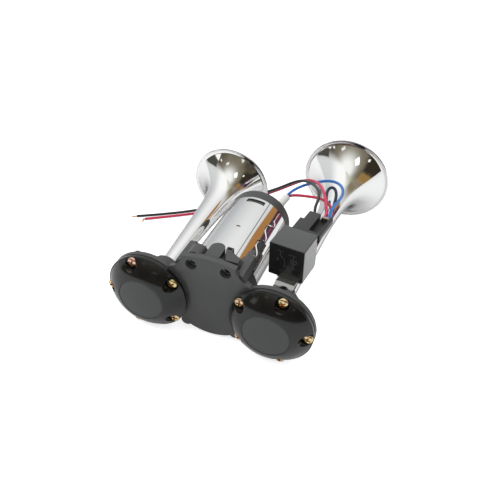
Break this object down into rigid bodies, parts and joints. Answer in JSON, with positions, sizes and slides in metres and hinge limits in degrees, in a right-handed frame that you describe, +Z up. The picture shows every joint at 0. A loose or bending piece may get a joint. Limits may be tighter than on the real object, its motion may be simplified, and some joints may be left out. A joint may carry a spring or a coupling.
{
  "type": "car air horn",
  "caption": "Twin-trumpet vehicle air horn: plated trumpets on diaphragm heads, an electric vane compressor between them and a relay with short leads.",
  "frame": {"origin": "middle of the horn's box in plan, at the level of the long bell's lowest point; the free leads don't count", "axes": "+Y along the trumpets towards their bells, +Z up on the side of the relay, +X from the short trumpet to the long one"},
  "size_m": [0.2111, 0.2096, 0.0775],
  "materials": {
    "black_moulding": "satin",
    "black_cover": "gloss",
    "relay_black": "satin",
    "socket_black": "satin",
    "chrome": "polished",
    "zinc_steel": "satin",
    "pump_iron": "ground",
    "ground_steel": "ground",
    "spring_steel": "satin",
    "core_steel": "matt",
    "bronze": "sintered",
    "brass": "satin",
    "tinned_brass": "satin",
    "yellow_zinc": "yellow passivated",
    "copper": "satin",
    "carbon": "matt",
    "ferrite": "matt",
    "card": "matt",
    "gasket": "matt",
    "black_screw": "satin",
    "white_sleeve": "matt",
    "black_wire": "satin",
    "red_wire": "satin",
    "blue_wire": "satin"
  },
  "bodies": {
    "horn": {"horn_body": "black_moulding", "trumpet_right": "chrome", "trumpet_left": "chrome", "pump_housing": "black_moulding", "fixing_inserts": "zinc_steel", "housing_screws": "zinc_steel", "pump_liner": "pump_iron", "wear_plates": "pump_iron", "rear_bush": "bronze", "front_bush": "bronze", "motor_tube": "chrome", "end_cap": "black_moulding", "magnets": "ferrite", "brush_card": "card", "brushes": "carbon", "relay_case": "relay_black", "relay_base": "relay_black", "relay_blades": "brass", "relay_socket": "socket_black", "socket_terminals": "tinned_brass", "relay_bracket": "zinc_steel", "bracket_screw": "black_screw", "lead_sleeve": "white_sleeve", "cover_left": "black_cover", "cover_right": "black_cover", "gasket_left": "gasket", "gasket_right": "gasket", "diaphragm_left": "spring_steel", "diaphragm_right": "spring_steel", "cover_screws_left": "yellow_zinc", "cover_screws_right": "yellow_zinc", "black_lead": "black_wire", "red_lead": "red_wire", "blue_lead": "blue_wire", "red_motor_lead": "red_wire", "blue_jumper": "blue_wire", "lead_ends": "copper"},
    "rotor": {"motor_shaft": "ground_steel", "armature_core": "core_steel", "armature_winding": "copper", "commutator": "copper", "pump_rotor": "pump_iron", "pump_vanes": "carbon"}
  },
  "joints": [
    {"name": "motor_spin", "type": "hinge", "parent": "horn", "child": "rotor", "pos_m": [-0.0019, -0.03707, 0.0466], "axis": [0, 1, 0], "continuous": true}
  ]
}
